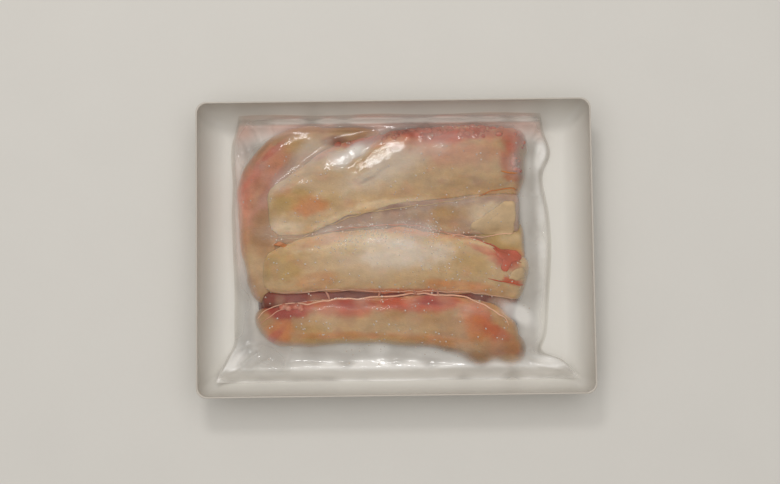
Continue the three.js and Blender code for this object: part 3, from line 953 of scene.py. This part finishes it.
class PACK_OT_trimmings(bpy.types.Operator):
    """Add the coral lumps, the juice under the meat, the loose flaps and the thin skins"""

    bl_idname = "pack.trimmings"
    bl_label = "Skins, flaps and lumps"

    def execute(self, context):
        colours = palette(context.scene.pack_meat)
        xs, ys, meat, _ = meat_heights(context.scene.pack_tray)
        soft = blur(meat, 1)
        make_lumps(xs, ys, soft, colours)
        parts = [(puddle_rings(), "brown")]
        for colour, thickness, edge in FLAPS:
            parts.append((flap_rings(xs, ys, soft, thickness, edge), colour))
        gather("flaps", parts, colours)
        parts = []
        for colour, radius, bridges, line in STRANDS:
            parts.append((laid_strand(xs, ys, soft, radius, bridges, line), colour))
        gather("membranes", parts, colours)
        return {"FINISHED"}


# ---------------------------------------------------------------- film


GRID = 0.8  # spacing of the film's height map
STRETCH_PASSES = 40  # how many times the film is pulled straight over the hollows
CLING_PASSES = (26, 12, 4)  # then softened and laid back on the meat, less each time
# Left and right ends of the film's contact with the tray: (y, x).
FILM_LEFT = [(-73, -98), (-66, -96.5), (-58, -93), (-50, -89), (-38, -88.8), (-20, -88.6), (0, -89.4),
             (20, -90), (38, -89.4), (56, -90.2), (66, -88), (76, -85)]
FILM_RIGHT = [(-73, 100.5), (-66, 96), (-61, 91), (-56, 80.5), (-46, 83), (-28, 84.6), (0, 86.5), (20, 85.5),
              (40, 82.5), (53, 87), (64, 84), (76, 81)]
FILM_NEAR = -71.5
FILM_FAR = 75
# Folds: (x, y, x, y, height, width) from one end to the other.
FILM_FOLDS = [
    (-70, -52, -97, -71, 1.6, 1.1), (-72, -48, -92, -56, 1.0, 1.4), (-66, -56, -84, -69, 0.8, 1.2),
    (-58, -56, -62, -70, 0.6, 1.3), (-80, -50, -88, -64, 0.7, 0.8),
    (68, -60, 99, -71, 1.5, 1.2), (66, -56, 90, -61, 0.9, 1.2), (60, -63, 72, -71, 0.6, 1.2),
    (-78, 52, -87, 68, 1.1, 0.9), (-72, 58, -79, 71, 1.2, 0.8), (-80, 44, -88, 56, 0.9, 1.2),
    (-64, 62, -66, 71, 0.8, 0.8), (74, 60, 82, 70, 1.0, 1.0), (76, 52, 86, 53, 1.0, 2.2),
    (76, 58, 84, 63, 0.7, 1.2), (75, 30, 83, 28, 0.7, 1.5), (74, 6, 84, 8, 0.5, 1.5),
    (74, -20, 84, -24, 0.5, 1.5), (-50, 68, 26, 73.5, 0.5, 0.7), (0, 69, 60, 70, 0.5, 0.7),
    (-50, 72.6, 28, 75, 0.7, 0.8), (-2, 73, 74, 70.5, 0.6, 0.8), (-36, 36, 8, 62, 1.1, 7),
    (-24, 50, 2, 58, 0.6, 3), (-60, -62, -20, -64, 0.5, 1.6),
    (-12, -60, 16, -64, 0.6, 1.2), (20, -64, 58, -67, 0.5, 1.4), (-66, 30, -60, 62, 0.5, 1.6),
]


def meat_heights(tray):
    """Height of the meat, or of the tray where there is none, on an even grid."""
    xs = np.arange(-HALF_LENGTH, HALF_LENGTH + GRID, GRID)
    ys = np.arange(-HALF_WIDTH, HALF_WIDTH + GRID, GRID)
    grid_x, grid_y = np.meshgrid(xs, ys, indexing="ij")
    ground = tray_inside(tray, grid_x, grid_y)
    meat = ground.copy()
    for name in [leg + "_meat" for leg in LEGS] + ["skin_lumps", "flaps"]:
        if name not in bpy.data.objects:
            continue
        mesh = bpy.data.objects[name].data
        tree = BVHTree.FromPolygons([v.co for v in mesh.vertices], [p.vertices[:] for p in mesh.polygons])
        points = mesh_points(mesh)
        low, high = points.min(0), points.max(0)
        near = (grid_x > low[0]) & (grid_x < high[0]) & (grid_y > low[1]) & (grid_y < high[1])
        for i, j in np.argwhere(near):
            hit = tree.ray_cast(Vector((xs[i] * MM, ys[j] * MM, 0.1)), Vector((0, 0, -1)))[0]
            if hit is not None:
                meat[i, j] = max(meat[i, j], hit.z / MM)
    return xs, ys, meat, ground


def film_heights(settings, meat):
    """The film's height on the grid: it clings to the meat and stretches straight across hollows."""
    film = meat.copy()
    for _ in range(STRETCH_PASSES):
        film = stretch(film, settings.slope)
    for passes in CLING_PASSES:
        film = np.maximum(blur(film, passes), meat + settings.cling)
    return np.maximum(blur(film, 2), meat + 0.6 * settings.cling)


def stretch(film, slope):
    """No point lies lower than a straight slope down from its neighbours."""
    padded = np.pad(film, 1, mode="edge")
    best = film
    for dx, dy in ((0, 1), (1, 0), (0, -1), (-1, 0), (1, 1), (1, -1), (-1, 1), (-1, -1)):
        shifted = padded[1 + dx:padded.shape[0] - 1 + dx, 1 + dy:padded.shape[1] - 1 + dy]
        best = np.maximum(best, shifted - slope * GRID * math.hypot(dx, dy))
    return best


def blur(film, passes):
    """A soft average over each point's neighbours."""
    for _ in range(passes):
        padded = np.pad(film, 1, mode="edge")
        film = (padded[:-2] + 2 * padded[1:-1] + padded[2:])[:, 1:-1] / 4
        padded = np.pad(film, 1, mode="edge")
        film = (padded[:, :-2] + 2 * padded[:, 1:-1] + padded[:, 2:])[1:-1] / 4
    return film


def sample(xs, ys, values, x, y):
    """The values on the even grid, read between its points."""
    i = np.clip((x - xs[0]) / GRID, 0, len(xs) - 1.001)
    j = np.clip((y - ys[0]) / GRID, 0, len(ys) - 1.001)
    a, b = i.astype(int), j.astype(int)
    u, v = i - a, j - b
    return (values[a, b] * (1 - u) * (1 - v) + values[a + 1, b] * u * (1 - v)
            + values[a, b + 1] * (1 - u) * v + values[a + 1, b + 1] * u * v)


def fold_height(x, y):
    """Rounded ridges along the listed folds, fading to nothing at both ends."""
    total = np.zeros_like(x)
    for x0, y0, x1, y1, height, width in FILM_FOLDS:
        length = math.hypot(x1 - x0, y1 - y0)
        way = ((x1 - x0) / length, (y1 - y0) / length)
        along = ((x - x0) * way[0] + (y - y0) * way[1]) / length
        across = (y - y0) * way[0] - (x - x0) * way[1]
        across += 0.35 * width * np.sin(along * 9 + x0)
        fade = np.clip(np.sin(np.clip(along, 0, 1) * math.pi), 0, 1) ** 0.7
        total += height * fade * np.exp(-(across / width) ** 2)
    return total


# Facets, where the film is stretched flat: (x, y, reach along, reach across, turn in degrees, height,
# slope along x, slope along y).
FILM_FACETS = [
    (-6, 51, 23, 6.2, 31, 24.4, 0.072, -0.165), (-26, 50, 9, 4.4, 24, 22.4, 0.075, -0.17),
]
# Clouds, where the film is milky: (x, y, reach along, across, turn in degrees, amount). Those at (-30, 50),
# (2, 46) and (-18, 55) round leg_back's highlight, and at (-10, 7) over leg_middle, are painted glare.
FILM_CLOUDS_AND_GLARE = [
    (65, -34.5, 11, 5.5, -28, 0.42), (-28, -53.5, 34, 3.4, -1, 0.15), (20, -57, 26, 3.4, -8, 0.15),
    (0, -68, 92, 7, 0, 0.55), (-90, -60, 9, 13, 0, 0.35),
    (90, -64, 14, 7, 0, 0.35), (-30, 50, 13, 7, 24, 0.28), (2, 46, 30, 10, 28, 0.2),
    (-10, 7, 36, 8, 3, 0.2),
    (0, -5, 34, 10, 0, 0.12), (-60, 66, 34, 6, 8, 0.14), (-52, 46, 26, 7, 48, 0.16),
    (-62, 10, 14, 7, 0, 0.08),
    (-86, 22, 4, 40, 0, 0.16), (-18, 55, 17, 5, 30, 0.3),
    (81, 34, 4, 28, 0, 0.3), (10, 71.2, 84, 2.4, 0, 0.6), (82, 53, 5, 8, 0, 0.35),
    (30, 63, 46, 4, 0, 0.12), (69, 52, 6, 16, 0, 0.14), (-91, -66, 8, 7, 0, 0.25),
]
# Painted shade, where the film's tint is made greyer: (x, y, reach along, across, turn in degrees, amount).
FILM_PAINTED_SHADES = [(-83, -32, 6, 24, 0, 0.45), (76, -8, 4, 44, 0, 0.2), (-70, -58, 14, 8, -30, 0.25),
                (-80, 56, 9, 9, 0, 0.3)]
FILM_COLUMNS = 250
FILM_ROWS = 190


def outline(rows, at):
    """The contact line's x at each y, smoothed between its listed points."""
    fine = smooth_rows(rows, 300)
    return np.interp(at, fine[:, 0], fine[:, 1])


def turned_reach(x, y, at_x, at_y, along, across, turn):
    """Distance from a turned oval's middle, as a share of its reach."""
    cos, sin = math.cos(math.radians(turn)), math.sin(math.radians(turn))
    dx, dy = x - at_x, y - at_y
    return np.hypot((dx * cos + dy * sin) / along, (dy * cos - dx * sin) / across)


def film_haze_and_glare(x, y, inside, outer, cloud):
    """How milky the film is: most beside the meat, least at its bonded edge, with painted glare under some
    clouds.
    """
    haze = 0.035 + outer * (0.34 + 0.08 * cloud) + 0.03 * cloud
    haze *= (0.25 + 0.75 * soft_step(inside, 0, 7)) * (0.6 + 0.4 * soft_step(FILM_FAR - y, 0, 4))
    for *oval, amount in FILM_CLOUDS_AND_GLARE:
        haze += amount * soft_step(1.3 + 0.3 * cloud - turned_reach(x, y, *oval), 0, 1)
    return np.clip(haze, 0, 0.75)


def film_painted_shade(x, y, cloud):
    """How bright the film's tint is: painted shade darkens it under the listed ovals."""
    shade = np.ones_like(x)
    for *oval, amount in FILM_PAINTED_SHADES:
        shade -= amount * soft_step(1.3 + 0.3 * cloud - turned_reach(x, y, *oval), 0, 1)
    return np.clip(shade, 0.2, 1)


def film_stain_and_reflection(x, y, cloud):
    """How pink the film is: along the far side, but for a clean strip, and down the left edge. The pink is
    juice, and beyond the clean strip, at the far wall, a painted reflection of the meat in the wall.
    """
    stain_and_reflection = soft_step(y, 56, 66) * (0.75 + 0.25 * cloud)
    stain_and_reflection *= 1 - 0.85 * (soft_step(y, 68, 70) - soft_step(y, 72.5, 74.5))
    return np.clip(stain_and_reflection + 0.35 * soft_step(-x, 74, 84) * soft_step(y, -30, 0), 0, 1)


def film_points(context):
    """The film's upper surface, row by row, with its haze, shine, pink of juice and painted reflection, and
    painted shade.
    """
    settings, tray = context.scene.pack_film, context.scene.pack_tray
    xs, ys, meat, ground = meat_heights(tray)
    film = film_heights(settings, meat)
    u, v = np.meshgrid(np.linspace(0, 1, FILM_COLUMNS), np.linspace(0, 1, FILM_ROWS))
    y = FILM_NEAR + (FILM_FAR - FILM_NEAR) * v + 0.3 * np.sin(u * 17) * (2 * v - 1)
    left, right = outline(FILM_LEFT, y), outline(FILM_RIGHT, y)
    x = left + (right - left) * u
    height = sample(xs, ys, film, x, y)
    floor = sample(xs, ys, ground, x, y)
    lying = sample(xs, ys, meat, x, y)
    border = np.minimum(np.minimum(x - left, right - x), np.minimum(y - FILM_NEAR, FILM_FAR - y))
    free = soft_step(height - lying, 0.6, 3.0)
    flat = np.stack([x, y, np.zeros_like(x)], -1).reshape(-1, 3)
    ripple = (value_noise(flat, 6, 901) + 0.6 * value_noise(flat, 2.6, 902)).reshape(x.shape)
    loose = soft_step(border, 0, 5) * (0.25 + 0.75 * free)
    height += 0.22 * ripple * loose + fold_height(x, y) * soft_step(border, 0, 3)
    shine = 0.2 + 0.8 * soft_step(y, 26, 40) + 0.7 * soft_step(-y, 50, 58)
    for at_x, at_y, along, across, turn, high, slope_x, slope_y in FILM_FACETS:
        share = soft_step(1.4 + 0.25 * ripple - turned_reach(x, y, at_x, at_y, along, across, turn), 0, 0.9)
        plane = high + slope_x * (x - at_x) + slope_y * (y - at_y) + 0.13 * ripple
        height = np.maximum(height + (plane - height) * share, np.minimum(height, lying + 0.2))
        shine += share
    settle = np.minimum(soft_step(np.minimum(x - left, right - x), 0, 3.2),
                        soft_step(np.minimum(y - FILM_NEAR, FILM_FAR - y), 0, 8))
    bonded = floor + 0.15
    height = bonded + (height - bonded) * settle
    filled = blur((meat - ground > 2).astype(float), 60)
    outer = soft_step(-sample(xs, ys, filled, x, y), -0.86, -0.34)
    cloud = value_noise(flat, 9, 903).reshape(x.shape)
    inside = np.minimum(np.minimum(x - left, right - x), y - FILM_NEAR)
    haze = film_haze_and_glare(x, y, inside, outer, cloud)
    shine = np.clip(shine + 0.6 * outer, 0, 1) * soft_step(border, -1, 5)
    return np.stack([x, y, height], -1), haze, shine, film_stain_and_reflection(x, y, cloud), film_painted_shade(x, y, cloud)


def sheet_faces(rows, columns):
    """Quads over an open sheet of points."""
    corner = (np.arange(rows - 1)[:, None] * columns + np.arange(columns - 1)[None, :]).reshape(-1)
    return np.stack([corner, corner + 1, corner + 1 + columns, corner + columns], axis=1)


class PACK_OT_film(bpy.types.Operator):
    """Drape the clear film over the meat and bond its edge to the tray"""

    bl_idname = "pack.film"
    bl_label = "Skin film"

    def execute(self, context):
        settings = context.scene.pack_film
        points, haze, shine, stain_and_reflection, shade = film_points(context)
        piece = new_piece("skin_film_sheet", points.reshape(-1, 3), sheet_faces(FILM_ROWS, FILM_COLUMNS),
                          film_material(), replaces=["skin_film"])
        store_value(piece.data, "haze", haze.reshape(-1))
        store_value(piece.data, "shine", shine.reshape(-1))
        clear, pink = np.array(settings.tint[:]), np.array(settings.juice[:])
        # Juice pink, and at the far wall a painted reflection of the meat.
        tint = clear + (pink - clear) * stain_and_reflection.reshape(-1, 1)
        # The tint is darkened by the painted shade.
        store_colour(piece.data, "tint", tint * shade.reshape(-1, 1))
        return {"FINISHED"}


def bubble_material():
    """Small drops and bubbles: nearly clear, bright where they catch the light."""
    material, tree, out = new_material("bubbles")
    shader = add_node(tree, "ShaderNodeBsdfPrincipled", in_Roughness=0.08, in_Alpha=0.4)
    shader.inputs["Base Color"].default_value = (0.75, 0.66, 0.56, 1)
    tree.links.new(shader.outputs[0], out.inputs["Surface"])
    return material


class PACK_OT_bubbles(bpy.types.Operator):
    """Scatter small bubbles and drops of juice on the underside of the film"""

    bl_idname = "pack.bubbles"
    bl_label = "Bubbles"

    def execute(self, context):
        inner = slice(8, -8, 3)  # every third point, clear of the film's edge
        points = film_points(context)[0][inner, inner]
        rows, columns = points.shape[:2]
        places = points.reshape(-1, 3) - (0, 0, 0.05)
        x, y = places[:, 0], places[:, 1]
        close = np.exp(-((x + 2) / 34) ** 4 - ((y - 6) / 8) ** 4)
        some = 0.14 * np.exp(-(x / 76) ** 8 - (y / 62) ** 8)
        patchy = soft_step(value_noise(places, 7, 81), -0.5, 0.7)
        scatter("bubbles", places, sheet_faces(rows, columns), (close + some) * patchy, {
            "Density": float(context.scene.pack_film.bubbles), "Smallest": 0.0002, "Largest": 0.00058,
            "Flatness": 0.4, "Unevenness": 0.0, "Detail": 2, "Seed": 9, "Material": bubble_material()})
        return {"FINISHED"}


# ---------------------------------------------------------------- stage


CAMERA_TARGET = (-2.57, 3.86, 14.0)
SENSOR_WIDTH = 36
LENS = 76.15
FLOOR_REACH = 3.0  # metres from the pack to the floor's edge


def area_light(name, place, aim, size, power):
    """A soft rectangular light that faces a point."""
    light = bpy.data.lights.new(name, "AREA")
    light.shape = "RECTANGLE"
    light.size, light.size_y = size
    light.energy = power
    holder = bpy.data.objects.new(name, light)
    holder.location = place
    holder.rotation_euler = (Vector(aim) - Vector(place)).to_track_quat("-Z", "Y").to_euler()
    bpy.context.scene.collection.objects.link(holder)
    return holder


def camera_at(settings):
    """A camera almost straight above the tray, leaning back a little and turned a little."""
    target = Vector(CAMERA_TARGET) * MM
    back = Vector((0, -math.sin(settings.tilt), math.cos(settings.tilt)))
    up = back.cross(Vector((1, 0, 0)))
    right = Vector((1, 0, 0)) * math.cos(settings.roll) + up * math.sin(settings.roll)
    up = back.cross(right)
    camera = bpy.data.cameras.new("camera")
    camera.sensor_width = SENSOR_WIDTH
    camera.lens = LENS
    camera.clip_end = 20
    holder = bpy.data.objects.new("camera", camera)
    turn = Matrix((right, up, back)).transposed().to_4x4()
    holder.matrix_world = Matrix.Translation(target + back * settings.distance) @ turn
    bpy.context.scene.collection.objects.link(holder)
    bpy.context.scene.camera = holder


class PACK_OT_stage(bpy.types.Operator):
    """Set the camera, the plain pale floor and the soft lights"""

    bl_idname = "pack.stage"
    bl_label = "Stage"

    def execute(self, context):
        settings = context.scene.pack_stage
        camera_at(settings)
        mesh = bpy.data.meshes.new("floor")
        signs = ((-1, -1), (1, -1), (1, 1), (-1, 1))
        points = [(a * FLOOR_REACH, b * FLOOR_REACH, 0) for a, b in signs]
        mesh.from_pydata(points, [], [(0, 1, 2, 3)])
        mesh.materials.append(plain_material("floor", settings.floor[:], 0.8))
        floor = bpy.data.objects.new("floor", mesh)
        context.scene.collection.objects.link(floor)
        key = area_light("key", (-0.05, 0.1, 1.5), (0, 0, 0), (1.9, 1.5), settings.key)
        key.visible_glossy = False
        area_light("window", (-0.17, 0.58, 1.0), (-0.01, 0.045, 0.02), (0.24, 0.16), settings.window)
        world = bpy.data.worlds.new("soft_room")
        world.use_nodes = True
        background = world.node_tree.nodes["Background"]
        background.inputs["Color"].default_value = (1, 0.985, 0.96, 1)
        background.inputs["Strength"].default_value = settings.ambient
        context.scene.world = world
        context.scene.view_settings.view_transform = "Standard"
        return {"FINISHED"}


# ---------------------------------------------------------------- add-on


class PACK_PT_panel(bpy.types.Panel):
    """Lists the steps that build the pack"""

    bl_idname = "PACK_PT_panel"
    bl_label = "Crab Leg Pack"
    bl_space_type = "VIEW_3D"
    bl_region_type = "UI"
    bl_category = "Crab Pack"

    def draw(self, context):
        for step in STEPS:
            self.layout.operator(step.bl_idname)


GROUPS = {
    "pack_tray": TraySettings,
    "pack_meat": MeatSettings,
    "pack_film": FilmSettings,
    "pack_stage": StageSettings,
}
STEPS = (PACK_OT_stage, PACK_OT_tray, PACK_OT_legs, PACK_OT_trimmings, PACK_OT_film, PACK_OT_bubbles)


def register():
    for name, group in GROUPS.items():
        bpy.utils.register_class(group)
        setattr(bpy.types.Scene, name, bpy.props.PointerProperty(type=group))
    for step in STEPS:
        bpy.utils.register_class(step)
    bpy.utils.register_class(PACK_PT_panel)


def unregister():
    bpy.utils.unregister_class(PACK_PT_panel)
    for step in reversed(STEPS):
        bpy.utils.unregister_class(step)
    for name, group in GROUPS.items():
        delattr(bpy.types.Scene, name)
        bpy.utils.unregister_class(group)


def main():
    register()
    bpy.ops.pack.stage()
    bpy.ops.pack.tray()
    bpy.ops.pack.legs()
    bpy.ops.pack.trimmings()
    bpy.ops.pack.film()
    bpy.ops.pack.bubbles()
    bpy.context.view_layer.update()


if __name__ == "__main__":
    main()
